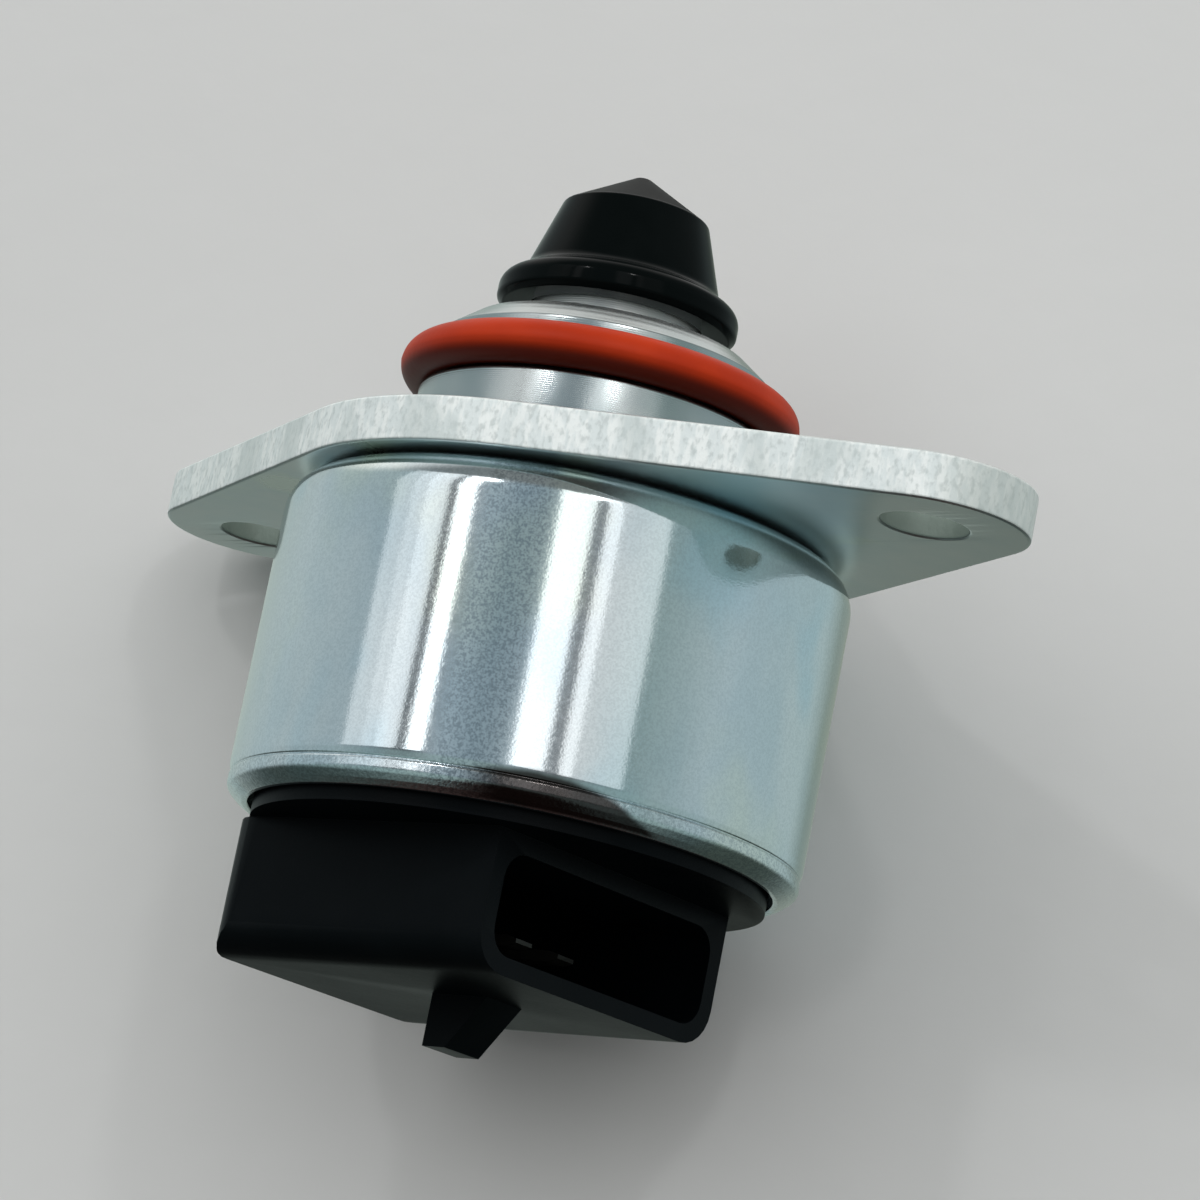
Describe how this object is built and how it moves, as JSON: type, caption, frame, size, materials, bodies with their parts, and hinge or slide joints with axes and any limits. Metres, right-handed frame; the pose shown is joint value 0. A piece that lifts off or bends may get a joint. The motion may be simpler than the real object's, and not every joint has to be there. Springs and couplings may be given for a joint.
{
  "type": "idle air control valve",
  "caption": "Idle air control valve with a bolt-on flange, sealed pilot, sliding conical pintle, stepper motor can and a plug-in socket.",
  "frame": {"origin": "centre of the flange face that meets the throttle body, on the valve axis", "axes": "+Z along the valve axis towards the pintle's tip, +X along the line of the two bolt holes towards the side where the socket's mouth opens, +Y completes the right-handed frame"},
  "size_m": [0.0654, 0.0352, 0.0555],
  "materials": {
    "flange_steel": "sheared and zinc plated, satin",
    "can_steel": "drawn and zinc plated, bright satin",
    "pilot_metal": "turned and plated",
    "ring_rubber": "orange red silicone, satin",
    "bush_steel": "turned, bright",
    "pintle_plastic": "smooth moulded, glossy",
    "spring_steel": "drawn wire",
    "screw_steel": "rolled, bright",
    "bearing_steel": "ground",
    "ball_chrome": "polished",
    "cage_brass": "pressed",
    "hub_plastic": "moulded",
    "nut_brass": "turned",
    "magnet_ferrite": "pressed ferrite, dark matt",
    "stator_steel": "stamped",
    "bobbin_plastic": "moulded",
    "winding_wire": "enamelled wire",
    "washer_fibre": "pressed fibre",
    "bushing_bronze": "sintered bronze",
    "seal_rubber": "black, matt",
    "socket_plastic": "smooth moulded black",
    "terminal_plate": "tinned"
  },
  "bodies": {
    "valve_housing": {"mounting_flange": "flange_steel", "motor_can": "can_steel", "pilot_housing": "pilot_metal", "pilot_o_ring": "ring_rubber", "guide_bush": "bush_steel", "pintle_spring": "spring_steel", "bearing_outer_race": "bearing_steel", "bearing_keeper": "bearing_steel", "stator_plate_1": "stator_steel", "stator_plate_2": "stator_steel", "stator_plate_3": "stator_steel", "stator_plate_4": "stator_steel", "coil_bobbin_front": "bobbin_plastic", "coil_bobbin_rear": "bobbin_plastic", "winding_front": "winding_wire", "winding_rear": "winding_wire", "insulating_washer": "washer_fibre", "rear_bushing": "bushing_bronze", "cover_seal": "seal_rubber", "connector_housing": "socket_plastic", "terminal_1": "terminal_plate", "terminal_2": "terminal_plate", "terminal_3": "terminal_plate", "terminal_4": "terminal_plate"},
    "rotor": {"rotor_hub": "hub_plastic", "drive_nut": "nut_brass", "rotor_magnet": "magnet_ferrite", "bearing_inner_race": "bearing_steel", "rotor_clip": "spring_steel"},
    "ball_train": {"bearing_balls": "ball_chrome", "bearing_cage": "cage_brass"},
    "plunger": {"lead_screw": "screw_steel", "pintle": "pintle_plastic"}
  },
  "joints": [
    {"name": "rotor_spin", "type": "hinge", "parent": "valve_housing", "child": "rotor", "pos_m": [0, 0, -0.01], "axis": [0, 0, 1], "range_deg": [0, 2880]},
    {"name": "pintle_slide", "type": "slide", "parent": "valve_housing", "child": "plunger", "axis": [0, 0, 1], "range_m": [0, 0.008], "deforming": ["pintle_spring"]},
    {"name": "ball_roll", "type": "hinge", "parent": "valve_housing", "child": "ball_train", "pos_m": [0, 0, -0.003], "axis": [0, 0, 1], "range_deg": [0, 1152.5]}
  ],
  "couplings": [
    {"joint": "pintle_slide", "follows": "rotor_spin", "m_per_rad": 0.00015915},
    {"joint": "ball_roll", "follows": "rotor_spin", "ratio": 0.4}
  ]
}
